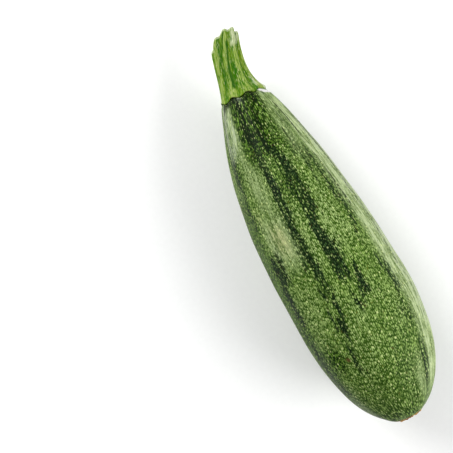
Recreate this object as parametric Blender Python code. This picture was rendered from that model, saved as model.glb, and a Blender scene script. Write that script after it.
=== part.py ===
"""A zucchini with its cut stem, lying on its belly as picked.

Metres, +Z up. The fruit lies along X with its stem end at +X. The origin is on the surface
that it lies on, under the middle of its box.

Every piece is modelled lying along the fruit's own length line: "along" is the distance from
the joint between fruit and stem towards the blossom end, "height" the distance from the same
joint up the stem, and "angle" turns about that line from the top towards -Y.
"""

import math

import bmesh
import bpy
from mathutils import Matrix, Vector

# The fruit: a club that tapers to its neck and rounds off at the blossom end
FRUIT_LENGTH = 0.1790
FRUIT_RADIUS = 0.0310
NECK_RADIUS = 0.0121
WIDEST_AT = 0.1220
TAPER_POWER = 2.5
END_POWER = 2.0
END_DROOP = math.radians(12)
END_TURN = math.radians(-4)
SIDE_SWAY = 0.0012
OVALNESS = 0.010

# Ridges of the stem run on as the ribs of the fruit, a little unevenly spaced
RIDGES = 8
FIRST_RIDGE = math.radians(-62)
UNEVENNESS = math.radians(10)
EVEN_AT = math.radians(38)
CREST_MEAN = 0.5
NECK_RIB = 0.085
BODY_RIB = 0.014
END_RIB = 0.040
NECK_RIB_FADES = 0.038
END_RIB_FADES = 0.018

# The joint, where the stem's foot spreads its lobes over the fruit's shoulder, lower on one side
LOBE_DIP = 0.0017
JOINT_TILT = 0.0011
DIP_FADES = 0.0060
JOINT_GAP = 0.0003
RIM_ROUNDING = 0.0006

# The stem, whose ridges wind a little round it, cut off at a slant
STEM_LENGTH = 0.0338
STEM_RADIUS = 0.0075
FOOT_RADIUS = 0.0125
FOOT_SPREAD = 0.0078
STEM_LEAN = 0.0063
STEM_TWIST = math.radians(25)
UNTWISTED_AT = 0.55
FURROW_DEPTH = 0.125
FURROW_POWER = 2.0
CUT_SLANT = 0.0130
CUT_HIGHEST = math.radians(33)
RIDGE_RISE = 0.0012
CUT_DISH = 0.0010
CUT_EDGE = 0.0008

# The corky scar that the flower left, in its seat at the blossom end
SCAR_RADIUS = 0.0079
SCAR_PROUD = 0.0012
SCAR_DISH = 0.0008
SCAR_LOBES = (5, 0.035)
SCAR_NICKS = (11, 0.020)
SEAT_RADIUS = 0.0087
SEAT_DEPTH = 0.0014
SEAT_RIM_RADIUS = 0.0097

# How it lies
PITCH = math.radians(1.9)
FLAT_DEPTH = 0.0005

# Mesh density: the rings crowd towards the joint, by a power of their share of the way from it
SEGMENTS = 72
SCAR_SEGMENTS = 40
TAPER_RINGS = 22
TAPER_CROWDING = 1.35
END_RINGS = 13
STEM_RINGS = 15
STEM_CROWDING = 1.3

# Colour and roughness of each piece
SKIN = (0.085, 0.190, 0.045, 1), 0.40
STEM = (0.250, 0.420, 0.070, 1), 0.50
CORK = (0.450, 0.240, 0.090, 1), 0.85


def crest(angle):
    """1 on a ridge and 0 in the furrow between two."""
    uneven = angle + UNEVENNESS * math.sin(angle - EVEN_AT)
    return (1 + math.cos(RIDGES * (uneven - FIRST_RIDGE))) / 2


def fruit_radius(along):
    """The fruit's mean radius at this distance from the joint."""
    if along < WIDEST_AT:
        share = (1 - along / WIDEST_AT) ** TAPER_POWER
        return FRUIT_RADIUS - (FRUIT_RADIUS - NECK_RADIUS) * share
    share = (along - WIDEST_AT) / (FRUIT_LENGTH - WIDEST_AT)
    return FRUIT_RADIUS * math.sqrt(1 - share**END_POWER)


def rib_height(along):
    """How far the ribs stand out, as a share of the radius: most at the neck, some at the end."""
    at_neck = (NECK_RIB - BODY_RIB) * math.exp(-along / NECK_RIB_FADES)
    at_end = (END_RIB - BODY_RIB) * math.exp((along - FRUIT_LENGTH) / END_RIB_FADES)
    return BODY_RIB + at_neck + at_end


def end_slant(along, radius, angle):
    """How much further out a point lies at the blossom end, which droops and turns a little aside."""
    share = max(0, (along - WIDEST_AT) / (FRUIT_LENGTH - WIDEST_AT))
    slant = math.tan(END_DROOP) * math.cos(angle) + math.tan(END_TURN) * math.sin(angle)
    return share**2 * radius * slant


def joint_dip(radius, angle):
    """How far the joint's surface bends down towards the fruit, most under a lobe of the foot."""
    share = min(1, radius / NECK_RADIUS)
    return LOBE_DIP * share**2 * crest(angle) + JOINT_TILT * share * math.sin(angle)


def fruit_point(along, radius, angle, dip_share):
    ribbed = radius * (1 + rib_height(along) * (crest(angle) - CREST_MEAN))
    ribbed *= 1 + OVALNESS * math.cos(2 * angle) * min(1, along / WIDEST_AT)
    dip = dip_share * joint_dip(ribbed, angle)
    sway = SIDE_SWAY * math.sin(2 * math.pi * along / FRUIT_LENGTH)
    along += end_slant(along, ribbed, angle)
    return Vector((-along - dip, sway - ribbed * math.sin(angle), ribbed * math.cos(angle)))


def fruit_rings():
    """(along, radius, share of the joint's dip) of each ring, from the top face to the scar's seat."""
    rings = [(0, NECK_RADIUS * share, 1) for share in (0, 0.3, 0.6, 0.85)]
    rings.append((0, NECK_RADIUS - RIM_ROUNDING, 1))
    for n in range(TAPER_RINGS + 1):
        along = RIM_ROUNDING + (WIDEST_AT - RIM_ROUNDING) * (n / TAPER_RINGS) ** TAPER_CROWDING
        rings.append((along, fruit_radius(along), math.exp(-along / DIP_FADES)))
    last_turn = math.acos(SEAT_RIM_RADIUS / FRUIT_RADIUS)
    end_length = FRUIT_LENGTH - WIDEST_AT
    for n in range(1, END_RINGS + 1):
        turn = last_turn * n / END_RINGS
        along = WIDEST_AT + end_length * math.sin(turn) ** (2 / END_POWER)
        rings.append((along, FRUIT_RADIUS * math.cos(turn), 0))
    lip = rings[-1][0]
    floor = lip - SEAT_DEPTH
    rings.append((lip, SEAT_RADIUS + (SEAT_RIM_RADIUS - SEAT_RADIUS) / 3, 0))
    rings += [(floor, SEAT_RADIUS, 0), (floor, SEAT_RADIUS / 2, 0), (floor, 0, 0)]
    return rings


def stem_crest(height, angle):
    """1 on a ridge of the stem and 0 in the furrow between two, at this height."""
    return crest(angle - STEM_TWIST * (height / STEM_LENGTH - UNTWISTED_AT))


def stem_radius(height, angle):
    """The stem's radius on its fluted side: round ridges with narrow furrows between."""
    spread = math.exp(-height / FOOT_SPREAD)
    mean = STEM_RADIUS + (FOOT_RADIUS - STEM_RADIUS) * spread
    depth = FURROW_DEPTH * (1 - spread / 2)
    return mean * (1 - depth * (1 - stem_crest(height, angle)) ** FURROW_POWER)


def cut_height(share, angle):
    """The height of the slanting cut, at this share of the way from its middle to its edge."""
    slanted = STEM_LENGTH - CUT_SLANT * (1 - share * math.cos(angle - CUT_HIGHEST)) / 2
    ridge = RIDGE_RISE * stem_crest(STEM_LENGTH, angle) * share**4
    return slanted + ridge - CUT_DISH * (1 - share**2)


def stem_point(height, radius, angle):
    """A point of the stem, whose middle line leans over more and more towards -Y."""
    rise = max(0, height) / STEM_LENGTH
    tilt = math.atan(2 * STEM_LEAN * rise / STEM_LENGTH)
    across = radius * math.sin(angle)
    x = height - across * math.sin(tilt)
    y = -STEM_LEAN * rise**2 - across * math.cos(tilt)
    return Vector((x, y, radius * math.cos(angle)))


def foot_point(share, angle):
    """A point on the foot's underside, which follows the fruit's top face a little way off."""
    radius = share * stem_radius(0, angle)
    return stem_point(JOINT_GAP - joint_dip(radius, angle), radius, angle)


def side_point(share, angle):
    top = cut_height(1, angle) - CUT_EDGE
    bottom = JOINT_GAP - joint_dip(NECK_RADIUS, angle) + RIM_ROUNDING
    height = bottom + (top - bottom) * share
    return stem_point(height, stem_radius(max(height, 0), angle), angle)


def cut_point(share, angle):
    radius = share * stem_radius(STEM_LENGTH, angle)
    return stem_point(cut_height(share, angle), radius, angle)


def stem_rings():
    """(function, share) of each ring, from the middle of the foot to the middle of the cut."""
    rings = [(foot_point, share) for share in (0, 0.35, 0.65, 0.88, 0.97)]
    rings += [(side_point, (n / STEM_RINGS) ** STEM_CROWDING) for n in range(STEM_RINGS + 1)]
    return rings + [(cut_point, share) for share in (0.93, 0.75, 0.45, 0.2, 0)]


def scar_outline(angle):
    """The ragged edge of the scar, as a share of its radius."""
    waves = [depth * math.sin(count * angle + count) for count, depth in (SCAR_LOBES, SCAR_NICKS)]
    return 1 + sum(waves)


def scar_rings():
    """(along, share of the radius) of each ring, from the middle underneath to that of the face."""
    lip = fruit_rings()[-4][0]
    floor = lip - SEAT_DEPTH + JOINT_GAP
    face = lip + SCAR_PROUD
    low = [(floor, share) for share in (0, 0.5, 0.94)]
    side = [(floor + RIM_ROUNDING, 1), (lip, 1), (face - RIM_ROUNDING, 1), (face, 0.92)]
    middle = [(face - SCAR_DISH / 2, 0.7), (face - SCAR_DISH, 0.45), (face - SCAR_DISH, 0)]
    return low + side + middle


def scar_point(along, share, angle):
    radius = share * SCAR_RADIUS * scar_outline(angle)
    along += end_slant(along, radius, angle)
    return Vector((-along, -radius * math.sin(angle), radius * math.cos(angle)))


def skin(name, segments, rings, place):
    """A closed skin: a sphere primitive whose rings and poles are moved to place(ring, angle)."""
    mesh = bpy.data.meshes.new(name)
    form = bmesh.new()
    last = len(rings) - 1
    bmesh.ops.create_uvsphere(form, u_segments=segments, v_segments=last, radius=1)
    for vert in form.verts:
        ring = round(last * math.acos(max(-1, min(1, vert.co.z))) / math.pi)
        angle = math.atan2(vert.co.y, vert.co.x)
        vert.co = place(rings[ring], angle)
    form.normal_update()
    bmesh.ops.recalc_face_normals(form, faces=form.faces)
    form.to_mesh(mesh)
    form.free()
    mesh.shade_smooth()
    piece = bpy.data.objects.new(name, mesh)
    bpy.context.collection.objects.link(piece)
    return piece


def finish(piece, look):
    """Gives a piece its own material."""
    colour, roughness = look
    material = bpy.data.materials.new(piece.name)
    material.use_nodes = True
    shader = material.node_tree.nodes["Principled BSDF"]
    shader.inputs["Base Color"].default_value = colour
    shader.inputs["Roughness"].default_value = roughness
    shader.inputs["Metallic"].default_value = 0
    piece.data.materials.append(material)


def make_fruit():
    def place(ring, angle):
        along, radius, dip_share = ring
        return fruit_point(along, radius, angle, dip_share)

    piece = skin("fruit", SEGMENTS, fruit_rings(), place)
    finish(piece, SKIN)
    return piece


def make_stem():
    def place(ring, angle):
        surface, share = ring
        return surface(share, angle)

    piece = skin("stem", SEGMENTS, stem_rings(), place)
    finish(piece, STEM)
    return piece


def make_scar():
    def place(ring, angle):
        along, share = ring
        return scar_point(along, share, angle)

    piece = skin("blossom_scar", SCAR_SEGMENTS, scar_rings(), place)
    finish(piece, CORK)
    return piece


def corners(pieces, matrix):
    """The lowest and highest corner of these pieces once turned by matrix."""
    points = [matrix @ vert.co for piece in pieces for vert in piece.data.vertices]
    low = Vector(min(point[axis] for point in points) for axis in range(3))
    high = Vector(max(point[axis] for point in points) for axis in range(3))
    return low, high


def flatten_belly(fruit, matrix):
    """Cuts the small flat spot that the fruit rests on, and returns the height it lies at."""
    low, _ = corners([fruit], matrix)
    floor = low.z + FLAT_DEPTH
    back = matrix.inverted()
    form = bmesh.new()
    form.from_mesh(fruit.data)
    everything = form.verts[:] + form.edges[:] + form.faces[:]
    plane = {"plane_co": back @ Vector((0, 0, floor)), "plane_no": back @ Vector((0, 0, -1))}
    cut = bmesh.ops.bisect_plane(form, geom=everything, clear_outer=True, **plane)
    edges = [item for item in cut["geom_cut"] if isinstance(item, bmesh.types.BMEdge)]
    bmesh.ops.edgeloop_fill(form, edges=edges)
    bmesh.ops.recalc_face_normals(form, faces=form.faces)
    form.to_mesh(fruit.data)
    form.free()
    return floor


def lay_down(pieces, fruit):
    """Hangs every piece on one empty, turned so that the fruit lies level on its belly."""
    turn = Matrix.Rotation(PITCH, 4, "Y")
    floor = flatten_belly(fruit, turn)
    low, high = corners(pieces, turn)
    whole = bpy.data.objects.new("zucchini", None)
    bpy.context.collection.objects.link(whole)
    whole.rotation_euler = (0, PITCH, 0)
    whole.location = (-(low.x + high.x) / 2, -(low.y + high.y) / 2, -floor)
    for piece in pieces:
        piece.parent = whole


def main():
    for old in list(bpy.data.objects):
        bpy.data.objects.remove(old)
    fruit = make_fruit()
    lay_down([fruit, make_stem(), make_scar()], fruit)


main()
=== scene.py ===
import math

import bpy
import numpy as np
from mathutils import Euler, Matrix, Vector


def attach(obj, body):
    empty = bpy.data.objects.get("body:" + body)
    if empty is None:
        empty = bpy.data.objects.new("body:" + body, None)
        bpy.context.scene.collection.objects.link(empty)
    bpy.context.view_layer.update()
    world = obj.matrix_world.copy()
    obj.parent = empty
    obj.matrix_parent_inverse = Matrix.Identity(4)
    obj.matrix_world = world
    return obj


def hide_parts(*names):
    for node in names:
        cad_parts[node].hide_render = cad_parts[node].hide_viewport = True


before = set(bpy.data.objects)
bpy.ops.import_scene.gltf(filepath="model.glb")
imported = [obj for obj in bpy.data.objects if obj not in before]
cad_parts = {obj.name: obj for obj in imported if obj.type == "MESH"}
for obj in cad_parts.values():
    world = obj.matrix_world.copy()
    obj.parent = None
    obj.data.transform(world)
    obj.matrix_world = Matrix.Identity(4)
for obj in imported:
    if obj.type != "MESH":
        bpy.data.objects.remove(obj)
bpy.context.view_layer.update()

# The fruit. A zucchini is one berry, grown whole: a club with soft ribs that run on from the ridges
# of its stem. The thin waxy skin is pale green with broken dark stripes along the ribs, and dotted
# all over with pale specks. It lies as picked, on a small flat of its belly.
FRUIT_LENGTH = 0.1790
FRUIT_RADIUS = 0.0310
NECK_RADIUS = 0.0121
WIDEST_AT = 0.1220
TAPER_POWER = 2.5
END_POWER = 2.0
END_DROOP = math.radians(12)
END_TURN = math.radians(-4)
SIDE_SWAY = 0.0012
OVALNESS = 0.010

# The ribs, a little unevenly spaced, and how far they stand out as a share of the radius
RIDGES = 8
FIRST_RIDGE = math.radians(-62)
UNEVENNESS = math.radians(10)
EVEN_AT = math.radians(38)
RIB_HEIGHT = 0.014
NECK_RIBS = 0.071
NECK_RIBS_FADE = 0.038
END_RIBS = 0.026
END_RIBS_FADE = 0.018

# The joint under the stem's foot
LOBE_DIP = 0.0017
JOINT_TILT = 0.0011
DIP_FADE = 0.0060
JOINT_GAP = 0.0003
RIM_ROUNDING = 0.0006

# The shallow seat of the scar at the other end
SEAT_RADIUS = 0.0087
SEAT_DEPTH = 0.0014
SEAT_RIM_RADIUS = 0.0097
SEAT_TURN = math.acos(SEAT_RIM_RADIUS / FRUIT_RADIUS)
SEAT_SWELL = 0.0001
SEAT_ROUNDING = 0.0002
SEAT_CORNER = 0.0003

# Rings of the mesh, which crowd towards the joint, and points round each
RINGS_TO_WIDEST = 191
RINGS_TO_SEAT = 86
CROWDING = 1.15
FRUIT_SEGMENTS = 280

# Soft dents and swells of the skin, which die out towards the neck's rim and the seat
WAVE_DEPTH = 0.00013
WAVE_LENGTHS = (0.022, 0.070)
CALM_NECK = 0.010
CALM_SEAT = 0.004

# The joint between fruit and stem lies here, and the fruit's length line slopes by this much
JOINT = Vector((0.07260, 0.00066, 0.02686))
PITCH = math.radians(1.9)


def crest(angle):
    """1 on a rib or ridge and 0 in the furrow between two."""
    uneven = angle + UNEVENNESS * np.sin(angle - EVEN_AT)
    return (1 + np.cos(RIDGES * (uneven - FIRST_RIDGE))) / 2


def fruit_radius(along):
    taper = np.clip(1 - along / WIDEST_AT, 0, 1) ** TAPER_POWER
    end = np.clip((along - WIDEST_AT) / (FRUIT_LENGTH - WIDEST_AT), 0, 1) ** END_POWER
    narrow = FRUIT_RADIUS - (FRUIT_RADIUS - NECK_RADIUS) * taper
    return np.where(along < WIDEST_AT, narrow, FRUIT_RADIUS * np.sqrt(1 - end))


def round_end(turn):
    """How far along the fruit its round end has come after a turn from the widest place."""
    return WIDEST_AT + (FRUIT_LENGTH - WIDEST_AT) * math.sin(turn) ** (2 / END_POWER)


def rib_height(along):
    at_neck = NECK_RIBS * np.exp(-along / NECK_RIBS_FADE)
    at_end = END_RIBS * np.exp((along - FRUIT_LENGTH) / END_RIBS_FADE)
    return RIB_HEIGHT + at_neck + at_end


def end_slant(along, radius, angle):
    """How much further out a point lies at the blossom end, which droops and turns a little aside."""
    share = np.maximum(0, (along - WIDEST_AT) / (FRUIT_LENGTH - WIDEST_AT))
    slant = math.tan(END_DROOP) * np.cos(angle) + math.tan(END_TURN) * np.sin(angle)
    return share**2 * radius * slant


def joint_dip(radius, angle):
    """How far the joint's surface bends down, most under a lobe of the stem's foot."""
    share = np.minimum(1, radius / NECK_RADIUS)
    return LOBE_DIP * share**2 * crest(angle) + JOINT_TILT * share * np.sin(angle)


def fruit_profile():
    """(along, radius, share of the joint's dip) of every ring, from top face to scar seat."""
    rings = [(0, NECK_RADIUS * share, 1) for share in (0, 0.3, 0.6, 0.85)]
    rings.append((0, NECK_RADIUS - RIM_ROUNDING, 1))
    shares = np.linspace(0, 1, RINGS_TO_WIDEST) ** CROWDING
    for along in RIM_ROUNDING + (WIDEST_AT - RIM_ROUNDING) * shares:
        rings.append((along, float(fruit_radius(along)), math.exp(-along / DIP_FADE)))
    for turn in np.linspace(0, SEAT_TURN, RINGS_TO_SEAT)[1:]:
        rings.append((round_end(turn), FRUIT_RADIUS * math.cos(turn), 0))
    lip = round_end(SEAT_TURN)
    rings.append((lip + SEAT_SWELL, (SEAT_RADIUS + SEAT_RIM_RADIUS) / 2, 0))
    rings.append((lip, SEAT_RADIUS + SEAT_ROUNDING, 0))
    floor = lip - SEAT_DEPTH
    rings.append((floor + SEAT_ROUNDING, SEAT_RADIUS, 0))
    return rings + [(floor, radius, 0) for radius in (SEAT_RADIUS - SEAT_CORNER, SEAT_RADIUS / 2, 0)]


def lay_down(x, y, z):
    """Points given along the fruit's own length line, moved to where the fruit lies."""
    turned_x = x * math.cos(PITCH) + z * math.sin(PITCH)
    turned_z = z * math.cos(PITCH) - x * math.sin(PITCH)
    return np.stack([turned_x + JOINT.x, y + JOINT.y, turned_z + JOINT.z], axis=1)


def ball(name, segments, rings):
    """A ball primitive, and the ring number and angle about its axis of every point."""
    bpy.ops.object.select_all(action="DESELECT")
    bpy.ops.mesh.primitive_uv_sphere_add(segments=segments, ring_count=rings, radius=1)
    piece = bpy.context.object
    piece.name = name
    co = np.empty(len(piece.data.vertices) * 3)
    piece.data.vertices.foreach_get("co", co)
    x, y, z = co.reshape(-1, 3).T
    ring = np.rint(rings * np.arccos(np.clip(z, -1, 1)) / math.pi).astype(int)
    return piece, ring, np.arctan2(y, x)


def reshape(piece, points):
    """Moves every point of a piece, then turns its faces outwards and smooths them."""
    piece.data.vertices.foreach_set("co", points.ravel())
    piece.data.update()
    bpy.ops.object.mode_set(mode="EDIT")
    bpy.ops.mesh.select_all(action="SELECT")
    bpy.ops.mesh.normals_make_consistent(inside=False)
    bpy.ops.object.mode_set(mode="OBJECT")
    bpy.ops.object.shade_smooth()


def keep(piece, name, values):
    """Stores a number or a vector for every point of a piece, for its material to read."""
    vectors = values.ndim == 2
    stored_as = piece.data.attributes.new(name, "FLOAT_VECTOR" if vectors else "FLOAT", "POINT")
    stored_as.data.foreach_set("vector" if vectors else "value", values.ravel())


def tube(radius, angle, along):
    """Places on a straight tube, where a piece's patterns are laid."""
    return np.stack([radius * np.cos(angle), radius * np.sin(angle), along], axis=1)


def waves(angle, along, seed, count):
    """Soft seeded dents and swells of the skin, closed round the fruit."""
    rng = np.random.default_rng(seed)
    total = np.zeros_like(angle)
    for _ in range(count):
        turns = rng.integers(1, 6)
        length = rng.uniform(*WAVE_LENGTHS)
        total += np.sin(turns * angle + 2 * math.pi * along / length + rng.uniform(0, 6.28))
    return WAVE_DEPTH * total / math.sqrt(count)


fruit_rings = np.array(fruit_profile())
fruit, ring, angle = ball("fruit_skin", FRUIT_SEGMENTS, len(fruit_rings) - 1)
along, radius, dip_share = fruit_rings[ring].T
ribbed = radius * (1 + rib_height(along) * (crest(angle) - 0.5))
ribbed *= 1 + OVALNESS * np.cos(2 * angle) * np.minimum(1, along / WIDEST_AT)
bare = np.clip((radius - SEAT_RIM_RADIUS) / CALM_SEAT, 0, 1) * np.clip(along / CALM_NECK, 0, 1)
ribbed += bare * waves(angle, along, seed=5, count=9)
x = -along - dip_share * joint_dip(ribbed, angle) - end_slant(along, ribbed, angle)
y = SIDE_SWAY * np.sin(2 * math.pi * along / FRUIT_LENGTH) - ribbed * np.sin(angle)
points = lay_down(x, y, ribbed * np.cos(angle))
points[:, 2] = np.maximum(points[:, 2], 0)
reshape(fruit, points)

# The skin's patterns are laid on an even tube: the skin stretched out round a straight line
SKIN_TUBE = 0.030
step = np.hypot(np.diff(fruit_rings[:, 0]), np.diff(fruit_rings[:, 1]))
run = np.concatenate([[0], np.cumsum(step)])[ring] - NECK_RADIUS
keep(fruit, "on_tube", tube(SKIN_TUBE, angle, run))

# Each stroke: its angle from the top at the start and at the end, in degrees, from and to in mm
# from the joint, half its width in degrees, and its strength. First the dark stripes that face up
STRIPES = [
    (-8, -3, 10, 28, 3.4, 0.60),
    (-2, 5, 26, 44, 5.0, 0.80),
    (6, 6, 36, 56, 8.0, 0.80),
    (5, 5, 46, 70, 9.0, 0.80),
    (3, 1, 60, 87, 6.5, 0.84),
    (1, 2, 80, 106, 6.0, 0.88),
    (12, 11, 96, 116, 4.4, 0.92),
    (-3, -3, 105, 118, 3.0, 0.70),
    (0, 1, 112, 121, 5.0, 0.95),
    (9, 10, 78, 100, 3.4, 0.50),
    (7, 6, -4, 17, 3.0, 0.45),
    (22, 19, -4, 13, 3.4, 0.45),
    (-28, -18, -4, 17, 6.5, 0.48),
    (-23, -17, 16, 30, 7.0, 0.70),
    (-20, -17, 22, 43, 5.0, 0.80),
    (-18, -17, 37, 58, 5.0, 0.82),
    (-19, -19, 50, 70, 6.6, 0.70),
    (-19, -20, 63, 87, 6.6, 0.76),
    (-19, -20, 80, 110, 5.4, 0.80),
    (-19, -19, 104, 119, 3.0, 0.90),
    (-26, -26, 78, 96, 2.8, 0.68),
    (-29, -29, 113, 127, 3.0, 0.80),
    (-23, -23, 116, 131, 4.0, 0.92),
    (-28, -29, 130, 148, 3.2, 0.86),
    (-55, -55, -6, 4, 10, 0.75),
    (-65, -58, 28, 66, 7.5, 0.56),
    (-53, -57, 77, 96, 9.0, 0.88),
    (-61, -63, 90, 117, 6.5, 0.76),
    (-63, -64, 128, 143, 5.5, 0.64),
    (-68, -76, 120, 156, 6.5, 0.54),
    (35, 28, 16, 56, 2.8, 0.62),
    (25, 21, 16, 44, 2.6, 0.46),
    (40, 36, 36, 64, 4.5, 0.66),
    (41, 38, 56, 84, 5.0, 0.62),
    (33, 33, 78, 100, 2.6, 0.54),
    (38, 37, 96, 110, 3.4, 0.62),
    (43, 44, 102, 122, 6.0, 0.64),
    (35, 36, 121, 138, 3.0, 0.64),
    (43, 44, 125, 139, 3.2, 0.70),
    (41, 46, 143, 160, 4.5, 0.72),
    (35, 40, 148, 168, 5.5, 0.64),
]

# Thin black lines that run down the neck from the foot of the stem, and short dark strokes just under the
# foot that are painted shadow of the foot
NECK_LINES_AND_SHADOW = [
    (-22, -17, -4, 22, 1.8, 0.95),
    (-9, -9, -3, 12, 1.5, 0.80),
    (-9, -8, 8, 22, 1.4, 0.75),
    (1, 1, -4, 24, 1.5, 0.90),
    (17, 15, -4, 9, 2.0, 0.90),
    (-34, -31, -4, 2.4, 5.0, 0.90),
    (-4, -2, -4, 1.2, 9.0, 0.85),
    (22, 22, -4, 1.2, 10.0, 0.85),
    (-63, -46, -4, 1.6, 14, 0.90),
    (27, 24, -4, 16, 1.2, 0.60),
    (-25, -23, 11, 26, 2.6, 0.90),
    (-6, -5, 17, 34, 1.8, 0.80),
    (27, 26, 23, 38, 1.4, 0.60),
    (-58, -68, -2, 7, 4.0, 0.80),
    (-78, -74, 4, 34, 2.0, 0.55),
    (-68, -63, 12, 34, 1.5, 0.50),
    (-57, -53, 6, 20, 1.2, 0.45),
    (50, 50, 8, 34, 1.4, 0.60),
    (66, 65, 14, 60, 1.6, 0.50),
    (63, 62, 58, 112, 1.5, 0.42),
    (48, 48, 40, 76, 1.5, 0.55),
]

# The dark stripes of the sides that face down and away, one after another along seven ribs
FAR_STRIPES_END = 152
rng = np.random.default_rng(11)
for middle in (104, 128, 152, 177, 202, 227, 252):
    start = rng.uniform(8, 22)
    while start < FAR_STRIPES_END:
        length = rng.uniform(20, 46)
        aside = middle + rng.uniform(-4, 4)
        half_width = rng.uniform(3.0, 7.0)
        far_aside = aside + rng.uniform(-4, 4)
        strength = rng.uniform(0.65, 1.0)
        STRIPES.append((aside, far_aside, start, start + length, half_width, strength))
        start += length * rng.uniform(0.72, 1.12)

# Skin of a deeper green, most of all round the neck; on the left edge, at the round end and under it the
# darker green is painted shade
DEEP_AND_SHADED_BANDS = [
    (-9, -9, -14, 16, 33, 1.0),
    (-14, -12, 10, 36, 25, 0.90),
    (14, 12, 10, 40, 12, 0.55),
    (-6, -5, 30, 64, 12, 0.45),
    (-68, -60, 24, 42, 12, 0.80),
    (-63, -62, 42, 66, 8, 0.35),
    (-73, -73, 44, 160, 16, 0.60),
    (-47, -48, 130, 142, 10, 1.0),
    (-14, -14, 145, 178, 40, 0.32),
    (5, 5, 160, 178, 12, 0.35),
    (108, 108, 0, 60, 12, 0.5),
    (142, 140, 0, 70, 12, 0.8),
    (192, 190, 0, 60, 14, 0.7),
    (240, 238, 0, 70, 12, 0.8),
    (120, 240, 165, 180, 180, 0.5),
]

# Paler bands of skin, some of them painted sheen of the lamps; patches of painted sheen; and patches
# rubbed or ripened to another colour, the dry ones with a painted highlight
PALE_AND_SHEEN_BANDS = [
    (-48, -44, 0, 30, 5, 0.75),
    (-38, -36, 28, 62, 8, 0.40),
    (-37, -37, 62, 86, 13, 0.65),
    (33, 30, 0, 40, 7, 0.60),
    (56, 54, 4, 176, 10, 0.90),
    (74, 72, 10, 170, 8, 1.0),
    (29, 32, 154, 174, 7, 0.60),
    (101, 100, 20, 150, 7, 0.7),
    (177, 177, 30, 150, 16, 0.8),
    (228, 229, 20, 150, 8, 0.6),
    (254, 252, 10, 120, 6, 0.5),
]
# Painted sheen: whitish glints of the lamps on the neck's left facet and its ridge, beside the stem's foot
# and down the right side
SHEEN_PATCHES = [
    (-70, -60, 0, 28, 14, 1.0),
    (-46, -44, -1, 22, 3, 0.7),
    (54, 56, -4, 3, 18, 1.0),
    (-14, -14, -1, 3, 9, 0.5),
    (68, 65, 18, 140, 6, 0.65),
]
TAN_PATCHES = [(-37, -36, 66, 80, 7, 0.55), (-50, -49, 56, 62, 3, 0.4)]
# Dried whitish skin beside the stem's foot, with a painted highlight over it
DRY_AND_GLARE_PATCHES = [(46, 66, -3, 3.4, 17, 1.0), (-14, -14, -2, 1.2, 9, 0.4)]
RUSTY_PATCHES = [
    (-48, -48, 175.5, 178, 50, 0.85),
    (38, 38, 175.9, 178, 30, 0.45),
    (150, 150, 175.8, 178, 70, 0.55),
]
BRUISES = [
    (-35, -34.5, 137.3, 138.9, 1.9, 1.0),
    (3, 4, 118.5, 119.5, 1.2, 0.5),
    (140, 141, 96, 98, 2.2, 0.8),
]


def painted(strokes, angle, distance, fade_angle, fade_along):
    """How strongly the strokes cover each point of a piece, 0 to 1, with soft edges."""
    millimetres = distance * 1000
    cover = np.zeros_like(angle)
    for start, end, first, last, half_width, strength in strokes:
        share = np.clip((millimetres - first) / (last - first), 0, 1)
        middle = start + (end - start) * share
        aside = np.abs((np.degrees(angle) - middle + 180) % 360 - 180)
        beyond = np.maximum(first - millimetres, millimetres - last)
        across = np.clip((half_width - aside) / fade_angle + 0.5, 0, 1)
        lengthwise = np.clip(-beyond / fade_along + 0.5, 0, 1)
        cover = np.maximum(cover, strength * across * lengthwise)
    return cover


# Each is kept on the skin, its edges faded over so many degrees and millimetres
for name, strokes, fade_angle, fade_along in (
    ("stripe", STRIPES, 8, 9),
    ("line_and_shadow", NECK_LINES_AND_SHADOW, 3, 8),
    ("deep_and_shade", DEEP_AND_SHADED_BANDS, 10, 12),
    ("pale_and_sheen", PALE_AND_SHEEN_BANDS, 9, 16),
    ("painted_sheen", SHEEN_PATCHES, 8, 5),
    ("tan", TAN_PATCHES, 6, 8),
    ("dry_and_glare", DRY_AND_GLARE_PATCHES, 8, 1.6),
    ("rust", RUSTY_PATCHES, 34, 0.9),
    ("bruise", BRUISES, 1.2, 1.2),
):
    keep(fruit, name, painted(strokes, angle, along, fade_angle, fade_along))


def add(tree, kind, inputs=None, **settings):
    """A shader node with its settings; each input is given a value or a link."""
    made = tree.nodes.new(kind)
    for name, value in settings.items():
        setattr(made, name, value)
    for key, value in (inputs or {}).items():
        if isinstance(value, bpy.types.NodeSocket):
            tree.links.new(value, made.inputs[key])
        else:
            made.inputs[key].default_value = value
    return made


def stored(tree, name, output="Fac"):
    """What was kept on the piece under this name."""
    return add(tree, "ShaderNodeAttribute", None, attribute_name=name).outputs[output]


def between(tree, value, low, high, new_low=0.0, new_high=1.0):
    """A value's share of the way from low to high, smoothly, as a new range."""
    inputs = {"Value": value, "From Min": low, "From Max": high, "To Min": new_low, "To Max": new_high}
    return add(tree, "ShaderNodeMapRange", inputs, interpolation_type="SMOOTHSTEP").outputs["Result"]


def sums(tree, operation, first, second, third=0.0):
    inputs = {0: first, 1: second, 2: third}
    return add(tree, "ShaderNodeMath", inputs, operation=operation).outputs[0]


def times(tree, first, second):
    return sums(tree, "MULTIPLY", first, second)


def ragged_by(tree, value, *streaks):
    """A value broken up by streaks, each given with how strongly it tells."""
    for streak, strength in streaks:
        value = sums(tree, "MULTIPLY_ADD", sums(tree, "SUBTRACT", streak, 0.5), strength, value)
    return value


def mixed(tree, share, under, over):
    """One number over another, by a share."""
    return add(tree, "ShaderNodeMix", {0: share, 2: under, 3: over}).outputs[0]


def tinted(tree, share, under, over):
    """One colour over another, by a share."""
    inputs = {0: share, 6: under, 7: over}
    return add(tree, "ShaderNodeMix", inputs, data_type="RGBA").outputs[2]


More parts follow.
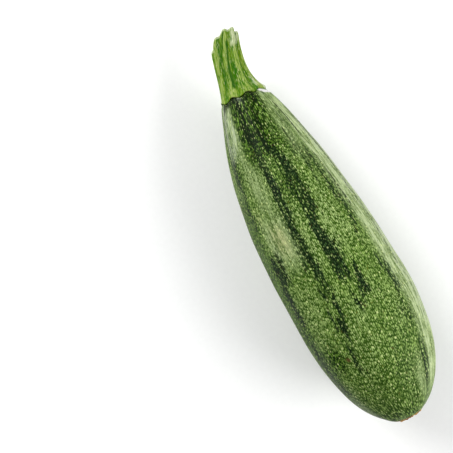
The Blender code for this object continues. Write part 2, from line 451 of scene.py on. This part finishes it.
def effect(name, inputs, outputs):
    """An empty node group with these named inputs and outputs."""
    group = bpy.data.node_groups.new(name, "ShaderNodeTree")
    for label, kind, value in inputs:
        socket = group.interface.new_socket(label, in_out="INPUT", socket_type=kind)
        if value is not None:
            socket.default_value = value
    for label, kind in outputs:
        group.interface.new_socket(label, in_out="OUTPUT", socket_type=kind)
    return group, group.nodes.new("NodeGroupInput"), group.nodes.new("NodeGroupOutput")


def make_streaks():
    """Fine growth streaks along a piece: noise drawn out lengthwise."""
    inputs = [
        ("Place", "NodeSocketVector", None),
        ("Per Metre", "NodeSocketFloat", 1000.0),
        ("Length", "NodeSocketFloat", 6.0),
        ("Roughness", "NodeSocketFloat", 0.6),
    ]
    group, given, result = effect("growth streaks", inputs, [("Streak", "NodeSocketFloat")])
    squeeze = sums(group, "DIVIDE", 1.0, given.outputs["Length"])
    scale = add(group, "ShaderNodeCombineXYZ", {0: 1.0, 1: 1.0, 2: squeeze}).outputs[0]
    place = add(group, "ShaderNodeVectorMath", {0: given.outputs["Place"], 1: scale}, operation="MULTIPLY")
    inputs = {
        "Vector": place.outputs[0],
        "Scale": given.outputs["Per Metre"],
        "Detail": 3.0,
        "Roughness": given.outputs["Roughness"],
    }
    noise = add(group, "ShaderNodeTexNoise", inputs)
    group.links.new(noise.outputs["Fac"], result.inputs["Streak"])
    return group


# Rows of flecks sway aside by this much, in noise of so many waves a metre
ROW_SWAY = 0.0016
SWAYS_PER_METRE = 300.0


def make_flecks():
    """Flecks that follow each other in wavering rows along a piece, on its tube unrolled flat.

    Edge is 0 in a fleck's middle and 1 on its rim; Each is a chance number of its own.
    """
    inputs = [
        ("Place", "NodeSocketVector", None),
        ("Rows Per Metre", "NodeSocketFloat", 960.0),
        ("Length", "NodeSocketFloat", 1.6),
        ("Size", "NodeSocketFloat", 0.5),
    ]
    outputs = [("Edge", "NodeSocketFloat"), ("Each", "NodeSocketFloat")]
    group, given, result = effect("skin flecks", inputs, outputs)
    place = given.outputs["Place"]
    rows = given.outputs["Rows Per Metre"]

    # Rows: the way round the tube, swayed by slow noise and cut into strips
    x, y, z = add(group, "ShaderNodeSeparateXYZ", {0: place}).outputs
    around = add(group, "ShaderNodeCombineXYZ", {0: x, 1: y}).outputs[0]
    reach = add(group, "ShaderNodeVectorMath", {0: around}, operation="LENGTH").outputs["Value"]
    arc = times(group, sums(group, "ARCTAN2", y, x), reach)
    slow = add(group, "ShaderNodeVectorMath", {0: place, 1: (1, 1, 0.25)}, operation="MULTIPLY")
    inputs = {"Vector": slow.outputs[0], "Scale": SWAYS_PER_METRE, "Detail": 1.0}
    sway = add(group, "ShaderNodeTexNoise", inputs).outputs["Fac"]
    across = times(group, sums(group, "MULTIPLY_ADD", sway, ROW_SWAY, arc), rows)
    row = sums(group, "FLOOR", across, 0.0)

    # Flecks: cells along each row, which starts where chance has it
    start = add(group, "ShaderNodeTexWhiteNoise", {"W": row}, noise_dimensions="1D").outputs["Value"]
    run = sums(group, "DIVIDE", z, given.outputs["Length"])
    run = sums(group, "MULTIPLY_ADD", run, rows, times(group, start, 50.0))
    inputs = {"W": run, "Scale": 1.0, "Randomness": 0.85}
    cells = add(group, "ShaderNodeTexVoronoi", inputs, voronoi_dimensions="1D")
    chances = add(group, "ShaderNodeSeparateColor", {0: cells.outputs["Color"]}).outputs
    size_chance, each, side_chance = chances
    middle = between(group, side_chance, 0, 1, 0.36, 0.64)
    beside = sums(group, "SUBTRACT", sums(group, "SUBTRACT", across, row), middle)
    off = add(group, "ShaderNodeCombineXYZ", {0: beside, 1: cells.outputs["Distance"]}).outputs[0]
    inputs = {0: off, 1: (1.15, 0.90, 0)}
    off = add(group, "ShaderNodeVectorMath", inputs, operation="MULTIPLY").outputs[0]
    off = add(group, "ShaderNodeVectorMath", {0: off}, operation="LENGTH").outputs["Value"]
    size = times(group, given.outputs["Size"], between(group, size_chance, 0.0, 1.0, 0.64, 1.28))
    group.links.new(sums(group, "DIVIDE", off, size), result.inputs["Edge"])
    group.links.new(each, result.inputs["Each"])
    return group


growth_streaks = make_streaks()
skin_flecks = make_flecks()


def streaks(tree, place, per_metre, length, roughness=0.6):
    """Growth streaks placed in a material."""
    inputs = {"Place": place, "Per Metre": per_metre, "Length": length, "Roughness": roughness}
    return add(tree, "ShaderNodeGroup", inputs, node_tree=growth_streaks).outputs["Streak"]


def flecks(tree, place, rows_per_metre, length, size):
    """Flecks placed in a material: the distance from each one's middle, and its chance number."""
    inputs = {"Place": place, "Rows Per Metre": rows_per_metre, "Length": length, "Size": size}
    placed = add(tree, "ShaderNodeGroup", inputs, node_tree=skin_flecks)
    return placed.outputs["Edge"], placed.outputs["Each"]


def empty_material(name):
    material = bpy.data.materials.new(name)
    material.use_nodes = True
    tree = material.node_tree
    return material, tree, tree.nodes["Principled BSDF"]


SHADE_GREEN = (0.018, 0.050, 0.003, 1)
GROUND_GREEN = (0.055, 0.112, 0.014, 1)
FLECK_GREEN = (0.225, 0.345, 0.080, 1)
FLECK_LIGHT = (0.335, 0.450, 0.160, 1)
DEEP_SHADE = (0.005, 0.018, 0.001, 1)
DEEP_FLECK = (0.125, 0.240, 0.030, 1)
PALE_SHADE = (0.190, 0.255, 0.095, 1)
PALE_FLECK = (0.470, 0.550, 0.310, 1)
SHEEN_WHITE = (0.400, 0.450, 0.320, 1)
STRIPE_SHADE = (0.004, 0.011, 0.003, 1)
STRIPE_FLECK = (0.042, 0.088, 0.024, 1)
DOT_CREAM = (0.540, 0.630, 0.250, 1)
TAN = (0.450, 0.425, 0.190, 1)
RUST = (0.240, 0.105, 0.012, 1)
DRY_AND_GLARE_WHITE = (0.660, 0.650, 0.640, 1)
BRUISE = (0.060, 0.012, 0.008, 1)

skin, tree, surface = empty_material("zucchini_skin")
place = stored(tree, "on_tube", "Vector")
run_out = add(tree, "ShaderNodeSeparateXYZ", {0: place}).outputs[2]
broad = streaks(tree, place, 60.0, 2.0)
coarse = streaks(tree, place, 260.0, 7.0, 0.7)
dashes = streaks(tree, place, 620.0, 7.0)
fine = streaks(tree, place, 1100.0, 2.0)

# Dark strokes break up first into streaks, then fleck by fleck
ragged = ragged_by(tree, stored(tree, "stripe"), (coarse, 0.9), (dashes, 2.0), (fine, 0.9))
stripe = between(tree, ragged, 0.24, 0.80)
# Deep green, partly painted shade, broken by streaks
deep_and_shade = between(tree, ragged_by(tree, stored(tree, "deep_and_shade"), (dashes, 1.2)), 0.10, 0.85)
# Pale bands, partly paler skin and partly painted sheen, streaked lengthwise
pale_and_sheen = times(tree, stored(tree, "pale_and_sheen"), between(tree, dashes, 0.30, 0.62, 0.45, 1.0))
# Patches of painted sheen, streaked lengthwise
painted_sheen = times(tree, stored(tree, "painted_sheen"), between(tree, dashes, 0.40, 0.60, 0.15, 1.0))

# The flecks stand further apart for their size on the narrow neck and at the end than on the body
body_edge, body_each = flecks(tree, place, 1150.0, 1.8, 0.54)
neck_edge, neck_each = flecks(tree, place, 600.0, 2.2, 0.52)
past_neck = between(tree, sums(tree, "MULTIPLY_ADD", fine, 0.050, run_out), 0.040, 0.055)
before_end = between(tree, sums(tree, "MULTIPLY_ADD", fine, 0.020, run_out), 0.172, 0.186, 1.0, 0.0)
on_body = times(tree, past_neck, before_end)
edge = mixed(tree, on_body, neck_edge, body_edge)
each = mixed(tree, on_body, neck_each, body_each)

# They are smaller in the dark stripes and the deep green, which is partly painted shade, and towards the
# round end, as painted shade there; and they run together into streaks on the pale bands, which are partly
# painted sheen
full = times(tree, between(tree, deep_and_shade, 0.0, 1.0, 1.0, 0.90), between(tree, stripe, 0.0, 1.0, 1.0, 0.75))
# Smaller towards the round end too: painted shade that darkens that end
full = times(tree, full, between(tree, run_out, 0.115, 0.160, 1.0, 0.88))
full = times(tree, full, between(tree, dashes, 0.35, 0.65, 0.82, 1.12))
fleck = between(tree, sums(tree, "DIVIDE", edge, full), 1.0, 0.58)
fleck = times(tree, fleck, between(tree, each, 0.0, 1.0, 0.42, 1.08))
fleck = mixed(tree, times(tree, pale_and_sheen, 0.75), fleck, between(tree, dashes, 0.42, 0.57))

# The ground between flecks and the flecks' colour; the pale bands over them are partly painted sheen of
# the lamps
shade = tinted(tree, between(tree, fine, 0.40, 0.64), SHADE_GREEN, GROUND_GREEN)
shade = tinted(tree, pale_and_sheen, shade, PALE_SHADE)
# Deep green over the ground and the flecks; on the left edge and at the round end it is painted shade
shade = tinted(tree, deep_and_shade, shade, DEEP_SHADE)
shade = tinted(tree, stripe, shade, STRIPE_SHADE)
striped_fleck = between(tree, sums(tree, "MULTIPLY_ADD", each, -0.55, ragged), 0.12, 0.54)
light = tinted(tree, between(tree, broad, 0.30, 0.70), FLECK_GREEN, FLECK_LIGHT)
light = tinted(tree, pale_and_sheen, light, PALE_FLECK)
light = tinted(tree, stored(tree, "tan"), light, TAN)
light = tinted(tree, deep_and_shade, light, DEEP_FLECK)
light = tinted(tree, striped_fleck, light, STRIPE_FLECK)
colour = tinted(tree, fleck, shade, light)

# What lies over the flecks: painted sheen, the neck's black lines with the painted shadow under the stem's
# foot, rust, dots, dried skin with a painted highlight, and bruises
painted_sheen = times(tree, painted_sheen, between(tree, fleck, 0.0, 0.7, 0.45, 1.0))
colour = tinted(tree, painted_sheen, colour, SHEEN_WHITE)
# The neck's black lines, and the painted shadow under the stem's foot
line_and_shadow = ragged_by(tree, stored(tree, "line_and_shadow"), (dashes, 0.9), (fine, 0.9))
colour = tinted(tree, between(tree, line_and_shadow, 0.22, 0.52, 0.0, 0.92), colour, STRIPE_SHADE)
rust = ragged_by(tree, stored(tree, "rust"), (fine, 2.2))
colour = tinted(tree, between(tree, rust, 0.25, 0.90, 0.0, 0.9), colour, RUST)
dot_edge, dot_each = flecks(tree, place, 400.0, 1.25, 0.18)
dot = between(tree, dot_edge, 1.0, 0.50)
dot = times(tree, dot, between(tree, dot_each, 0.1, 0.95, 0.12, 0.90))
dot = times(tree, dot, between(tree, stripe, 0.0, 1.0, 1.0, 0.60))
colour = tinted(tree, dot, colour, DOT_CREAM)
# Dried skin with a painted highlight on it, whitish
dry_and_glare = ragged_by(tree, stored(tree, "dry_and_glare"), (fine, 1.6))
colour = tinted(tree, between(tree, dry_and_glare, 0.35, 0.75), colour, DRY_AND_GLARE_WHITE)
colour = tinted(tree, stored(tree, "bruise"), colour, BRUISE)
tree.links.new(colour, surface.inputs["Base Color"])

rough = between(tree, coarse, 0.25, 0.75, 0.36, 0.52)
rough = sums(tree, "MULTIPLY_ADD", dot, 0.10, rough)
tree.links.new(rough, surface.inputs["Roughness"])
relief = sums(tree, "MULTIPLY_ADD", broad, 0.55, times(tree, coarse, 0.18))
relief = sums(tree, "MULTIPLY_ADD", fine, 0.05, relief)
relief = sums(tree, "MULTIPLY_ADD", dot, 0.04, relief)
bump = add(tree, "ShaderNodeBump", {"Height": relief, "Distance": 0.001, "Strength": 0.8})
tree.links.new(bump.outputs[0], surface.inputs["Normal"])
surface.inputs["Specular IOR Level"].default_value = 0.04

fruit.data.materials.append(skin)
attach(fruit, "root")
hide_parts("fruit")

# The stem. It is the fruit's own stalk, cut through with a knife when it was picked. It is harder
# and paler than the fruit, with eight rounded ridges that wind a little round it, deep green
# furrows between them, and a foot that spreads in lobes over the fruit's shoulder.
STEM_LENGTH = 0.0338
STEM_RADIUS = 0.0075
FOOT_RADIUS = 0.0125
FOOT_SPREAD = 0.0078
STEM_LEAN = 0.0063
STEM_TWIST = math.radians(25)
UNTWISTED_AT = 0.55
FURROW_DEPTH = 0.125
FURROW_POWER = 2.0
FIBRE_HEIGHT = 0.00007
FIBRES_FROM = 0.1

# The slanted cut, a little dished, with the ridges' ends standing up at its rim
CUT_SLANT = 0.0130
CUT_HIGHEST = math.radians(33)
RIDGE_RISE = 0.0012
CUT_DISH = 0.0010
CUT_EDGE = 0.0008

# Shares of the radius at the rings of the foot and of the cut
FOOT_SHARES = [0, 0.35, 0.65, 0.88, 0.97]
CUT_SHARES = [0.985, 0.96, 0.93, 0.85, 0.75, 0.6, 0.45, 0.32, 0.2, 0.1, 0]
STALK_RINGS = 120
STALK_SEGMENTS = 216


def stem_angle(height, angle):
    """The angle measured along the winding ridges."""
    return angle - STEM_TWIST * (height / STEM_LENGTH - UNTWISTED_AT)


def stem_radius(height, angle):
    spread = np.exp(-height / FOOT_SPREAD)
    mean = STEM_RADIUS + (FOOT_RADIUS - STEM_RADIUS) * spread
    depth = FURROW_DEPTH * (1 - spread / 2)
    return mean * (1 - depth * (1 - crest(stem_angle(height, angle))) ** FURROW_POWER)


def cut_height(share, angle):
    slanted = STEM_LENGTH - CUT_SLANT * (1 - share * np.cos(angle - CUT_HIGHEST)) / 2
    ridge = RIDGE_RISE * crest(stem_angle(STEM_LENGTH, angle)) * share**4
    return slanted + ridge - CUT_DISH * (1 - share**2)


# Every ring is one of the foot's, then of the side's, from its bottom edge up, then of the cut's
last_of_side = len(FOOT_SHARES) + STALK_RINGS
up_the_side = list(np.linspace(0, 1, STALK_RINGS + 1) ** CROWDING)
stem, ring, angle = ball("cut_stem", STALK_SEGMENTS, last_of_side + len(CUT_SHARES))
foot_share = np.array(FOOT_SHARES + [1.0] * (STALK_RINGS + 1) + [0] * len(CUT_SHARES))[ring]
side_share = np.array([0.0] * len(FOOT_SHARES) + up_the_side + [1.0] * len(CUT_SHARES))[ring]
cut_share = np.array([1.0] * (last_of_side + 1) + CUT_SHARES)[ring]
on_foot = ring < len(FOOT_SHARES)
on_cut = ring > last_of_side

foot_radius = foot_share * stem_radius(np.zeros_like(angle), angle)
foot_height = JOINT_GAP - joint_dip(foot_radius, angle)
bottom = JOINT_GAP - joint_dip(np.full_like(angle, NECK_RADIUS), angle) + RIM_ROUNDING
side_height = bottom + (cut_height(1, angle) - CUT_EDGE - bottom) * side_share

# Fine fibres, 40 and 67 round the stalk, which run out in its foot
twisted = stem_angle(side_height, angle)
fibres = np.cos(40 * twisted) + 0.7 * np.cos(67 * twisted + 1)
side_radius = stem_radius(np.maximum(side_height, 0), angle)
side_radius += FIBRE_HEIGHT * fibres * np.clip(side_share / FIBRES_FROM, 0, 1)

cut_radius = cut_share * stem_radius(STEM_LENGTH, angle)
height = np.where(on_foot, foot_height, np.where(on_cut, cut_height(cut_share, angle), side_height))
radius = np.where(on_foot, foot_radius, np.where(on_cut, cut_radius, side_radius))
rise = np.maximum(0, height) / STEM_LENGTH
tilt = np.arctan(2 * STEM_LEAN * rise / STEM_LENGTH)
across = radius * np.sin(angle)
x = height - across * np.sin(tilt)
y = -STEM_LEAN * rise**2 - across * np.cos(tilt)
reshape(stem, lay_down(x, y, radius * np.cos(angle)))

# The furrows that show deepest, darker partly in the stalk's own green and partly as painted shade, and
# where the stalk has dried pale, with a painted highlight on it: strokes as on the fruit
SHADED_GROOVES = [
    (-18, -27, 8, 22, 3.0, 0.8),
    (-25, -9, 20, 35, 3.0, 1.0),
    (-2, -6, 3, 15, 5.5, 0.95),
    (-6, 2, 12, 30, 4.5, 0.95),
    (42, 48, 4, 18, 3.0, 0.75),
    (48, 36, 16, 29, 3.0, 0.7),
]
# Dried pale places of the stalk, with a painted highlight on its right side
DRIED_AND_GLARE = [
    (34, 42, 24, 36, 26, 0.58),
    (60, 62, 1, 8, 5, 0.9),
    (92, 90, -5, 5, 14, 1.0),
    (-88, -80, 24, 34, 8, 0.5),
    (165, 190, 14, 22, 20, 0.5),
]
BETWEEN_RIDGES = 0.40
WHITE_RIM = 0.985
winding = stem_angle(np.maximum(side_height, 0), angle)
# Every furrow a little darker as well: partly the stalk's deeper green, partly painted shade in the
# creases
furrows = BETWEEN_RIDGES * (1 - crest(winding)) ** 4
keep(stem, "groove_and_shade", np.maximum(painted(SHADED_GROOVES, winding, side_height, 7, 5), furrows))
keep(stem, "dried_and_glare", painted(DRIED_AND_GLARE, winding, side_height, 16, 5))
keep(stem, "ridge", crest(winding))
rim = np.clip((side_share - WHITE_RIM) / (1 - WHITE_RIM), 0, 1)
keep(stem, "cut", np.where(on_cut, 1.0, rim))

STALK_TUBE = 0.010
keep(stem, "on_tube", tube(STALK_TUBE, stem_angle(height, angle), height))

RIDGE_GREEN = (0.265, 0.350, 0.075, 1)
STALK_GREEN = (0.120, 0.220, 0.004, 1)
STALK_DEEP = (0.024, 0.122, 0.001, 1)
FURROW_SHADE_GREEN = (0.012, 0.078, 0.000, 1)
BRISTLE = (0.500, 0.520, 0.260, 1)
DRY_CUT = (0.560, 0.600, 0.400, 1)
CUT_GREEN = (0.230, 0.330, 0.100, 1)

stalk, tree, surface = empty_material("cut_stalk")
place = stored(tree, "on_tube", "Vector")
coarse = streaks(tree, place, 420.0, 9.0)
fine = streaks(tree, place, 1500.0, 7.0, 0.7)
colour = tinted(tree, between(tree, coarse, 0.38, 0.58), STALK_DEEP, STALK_GREEN)
raised = between(tree, stored(tree, "ridge"), 0.1, 1.0)
pale_line = sums(tree, "MULTIPLY_ADD", raised, 0.15, fine)
colour = tinted(tree, between(tree, pale_line, 0.50, 0.72, 0.0, 0.95), colour, RIDGE_GREEN)
colour = tinted(tree, between(tree, fine, 0.48, 0.38, 0.0, 0.85), colour, STALK_DEEP)
# Darker furrows: the stalk's deeper green and painted shade in the creases
groove_and_shade = ragged_by(tree, stored(tree, "groove_and_shade"), (coarse, -0.9), (fine, -0.8))
colour = tinted(tree, between(tree, groove_and_shade, 0.35, 0.80, 0.0, 0.92), colour, FURROW_SHADE_GREEN)

# Short pale bristles, worn off in the furrows
bristle_edge, bristle_each = flecks(tree, place, 1300.0, 3.6, 0.31)
bristle = between(tree, bristle_edge, 1.0, 0.50)
bristle = times(tree, bristle, between(tree, bristle_each, 0.1, 1.0, 0.0, 0.75))
bristle = times(tree, bristle, between(tree, groove_and_shade, 0.30, 0.70, 1.0, 0.15))
colour = tinted(tree, bristle, colour, BRISTLE)
# Dried pale stalk with a painted highlight
dry_and_glare = ragged_by(tree, stored(tree, "dried_and_glare"), (fine, 1.8))
colour = tinted(tree, between(tree, dry_and_glare, 0.30, 0.95, 0.0, 0.9), colour, DRY_CUT)
cut_streak = tinted(tree, between(tree, fine, 0.35, 0.65), CUT_GREEN, DRY_CUT)
colour = tinted(tree, stored(tree, "cut"), colour, cut_streak)
tree.links.new(colour, surface.inputs["Base Color"])

tree.links.new(between(tree, fine, 0.25, 0.75, 0.50, 0.70), surface.inputs["Roughness"])
relief = sums(tree, "MULTIPLY_ADD", coarse, 0.35, times(tree, fine, 0.22))
relief = sums(tree, "MULTIPLY_ADD", bristle, 0.12, relief)
bump = add(tree, "ShaderNodeBump", {"Height": relief, "Distance": 0.001, "Strength": 0.9})
tree.links.new(bump.outputs[0], surface.inputs["Normal"])
surface.inputs["Specular IOR Level"].default_value = 0.05

stem.data.materials.append(stalk)
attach(stem, "root")
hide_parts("stem")

# The blossom scar. It is a disc of dry cork at the far end, where the flower dropped off. It sits
# in its shallow seat and stands a little proud of the skin, with a ragged rim and a dished middle.
SCAR_RADIUS = 0.0079
SCAR_SEGMENTS = 160
SCAR_PROUD = 0.0012
SCAR_DISH = 0.0008
DISH_SHARE = 0.92
DISH_RIM = 0.2
DISH_POWER = 0.6
DISH_RINGS = 30
CRUMBLE = 0.00022

# Rings of its back and waist, then how far under the face those of its edge lie, and their shares
BACK_SHARES = (0, 0.5, 0.94)
WAIST = 0.0012
EDGE_RINGS = [(RIM_ROUNDING, 1), (0.0003, 0.985), (0.0001, 0.955)]

# The ragged rim's notches: how deep they are as a share of the radius, how many, and their start
NOTCHES = [(0.035, 5, 5), (0.020, 11, 11), (0.010, 23, 2)]

lip = round_end(SEAT_TURN) + SEAT_SWELL
floor = lip - SEAT_DEPTH + JOINT_GAP
face = lip + SCAR_PROUD
scar_rings = [(floor, share) for share in BACK_SHARES]
scar_rings += [(floor + RIM_ROUNDING, 1), (floor + WAIST, 1)]
scar_rings += [(face - depth, share) for depth, share in EDGE_RINGS]
for share in np.linspace(DISH_SHARE, 0, DISH_RINGS):
    dished = (1 - share / DISH_SHARE) ** DISH_POWER * min(1, (DISH_SHARE - share) / DISH_RIM)
    scar_rings.append((face - SCAR_DISH * dished, share))
scar_rings = np.array(scar_rings)
scar, ring, angle = ball("corky_scar", SCAR_SEGMENTS, len(scar_rings) - 1)
along, share = scar_rings[ring].T
outline = 1
for depth, count, start in NOTCHES:
    outline = outline + depth * np.sin(count * angle + start)
radius = share * SCAR_RADIUS * outline
crumbled = np.clip((along - lip) / SCAR_PROUD, 0, 1) * share
grains = np.sin(17 * angle + 9 * share) + np.sin(29 * angle - 14 * share + 1)
along = along + CRUMBLE * crumbled * grains / 2
out = along + end_slant(along, radius, angle)
reshape(scar, lay_down(-out, -radius * np.sin(angle), radius * np.cos(angle)))
keep(scar, "outward", share)
keep(scar, "on_tube", tube(radius, angle, along))

CORK_TAN = (0.560, 0.310, 0.080, 1)
CORK_BROWN = (0.210, 0.075, 0.012, 1)
CORK_MIDDLE = (0.330, 0.260, 0.120, 1)

cork, tree, surface = empty_material("dry_cork")
place = stored(tree, "on_tube", "Vector")
inputs = {"Vector": place, "Scale": 900.0, "Detail": 4.0, "Roughness": 0.65}
crumbs = add(tree, "ShaderNodeTexNoise", inputs).outputs["Fac"]
patches = add(tree, "ShaderNodeTexNoise", {"Vector": place, "Scale": 260.0, "Detail": 3.0}).outputs["Fac"]
colour = tinted(tree, between(tree, patches, 0.40, 0.60), CORK_TAN, CORK_BROWN)
colour = tinted(tree, between(tree, crumbs, 0.55, 0.70, 0.0, 0.7), colour, CORK_BROWN)
inward = between(tree, stored(tree, "outward"), 0.80, 0.45, 0.0, 0.8)
colour = tinted(tree, inward, colour, CORK_MIDDLE)
tree.links.new(colour, surface.inputs["Base Color"])
tree.links.new(between(tree, crumbs, 0.3, 0.7, 0.70, 0.95), surface.inputs["Roughness"])
relief = sums(tree, "MULTIPLY_ADD", crumbs, 0.6, patches)
bump = add(tree, "ShaderNodeBump", {"Height": relief, "Distance": 0.0006})
tree.links.new(bump.outputs[0], surface.inputs["Normal"])

scar.data.materials.append(cork)
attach(scar, "root")
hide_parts("blossom_scar")

# The floor and the light. The fruit lies on a sheet of matt white paper, between two soft lamps:
# a stronger one high on the stem's side, and a weaker one opposite. A pale sky fills the shadows.
PAPER_SIZE = 6
PAPER_WHITE = (0.94, 0.94, 0.93, 1)
PAPER_GREY = (0.90, 0.90, 0.89, 1)
bpy.ops.object.select_all(action="DESELECT")
bpy.ops.mesh.primitive_plane_add(size=PAPER_SIZE)
paper = bpy.context.object
paper.name = "white_paper"
sheet, tree, surface = empty_material("white_paper")
place = add(tree, "ShaderNodeTexCoord").outputs["Object"]
grain = add(tree, "ShaderNodeTexNoise", {"Vector": place, "Scale": 400.0}).outputs["Fac"]
tree.links.new(tinted(tree, grain, PAPER_GREY, PAPER_WHITE), surface.inputs["Base Color"])
surface.inputs["Roughness"].default_value = 0.9
paper.data.materials.append(sheet)

LAMP_AIM = Vector((0, 0, 0.03))
LAMP_WIDTH = 0.7
LAMP_HEIGHT = 0.6
SKY_WHITE = (0.95, 0.97, 1.0, 1)
SKY_STRENGTH = 0.32


def lamp(name, place, power):
    """A soft rectangular lamp that shines from its place towards the fruit."""
    light = bpy.data.lights.new(name, "AREA")
    light.shape = "RECTANGLE"
    light.size = LAMP_WIDTH
    light.size_y = LAMP_HEIGHT
    light.energy = power
    stand = bpy.data.objects.new(name, light)
    stand.location = place
    stand.rotation_euler = (LAMP_AIM - Vector(place)).to_track_quat("-Z", "Y").to_euler()
    bpy.context.collection.objects.link(stand)


lamp("key_lamp", (0.741, 0.351, 0.60), 10.8)
lamp("fill_lamp", (-0.507, -0.600, 0.53), 9.0)
world = bpy.data.worlds.new("studio")
world.use_nodes = True
sky = world.node_tree.nodes["Background"]
sky.inputs["Color"].default_value = SKY_WHITE
sky.inputs["Strength"].default_value = SKY_STRENGTH
bpy.context.scene.world = world
bpy.context.scene.view_settings.view_transform = "Standard"

# The camera. It looks down on the fruit from above, turned so that the stem points up and to the
# left, as in the photograph. Its lens was read in the photograph's own pixels.
CAMERA_AIM = Vector((0.01873, 0.03810, 0.02686))
AZIMUTH = math.radians(-117.548)
ELEVATION = math.radians(88.5)
DISTANCE = 0.6046
SENSOR_WIDTH = 36
LENS_PX = 1207
PHOTO_PX = 453
eye = bpy.data.cameras.new("camera")
eye.sensor_width = SENSOR_WIDTH
eye.lens = SENSOR_WIDTH * LENS_PX / PHOTO_PX
eye.clip_start = 0.01
camera = bpy.data.objects.new("camera", eye)
level = math.cos(ELEVATION)
away = Vector((math.sin(AZIMUTH) * level, -math.cos(AZIMUTH) * level, math.sin(ELEVATION)))
camera.location = CAMERA_AIM + DISTANCE * away
camera.rotation_euler = Euler((math.pi / 2 - ELEVATION, 0, AZIMUTH))
bpy.context.collection.objects.link(camera)
bpy.context.scene.camera = camera
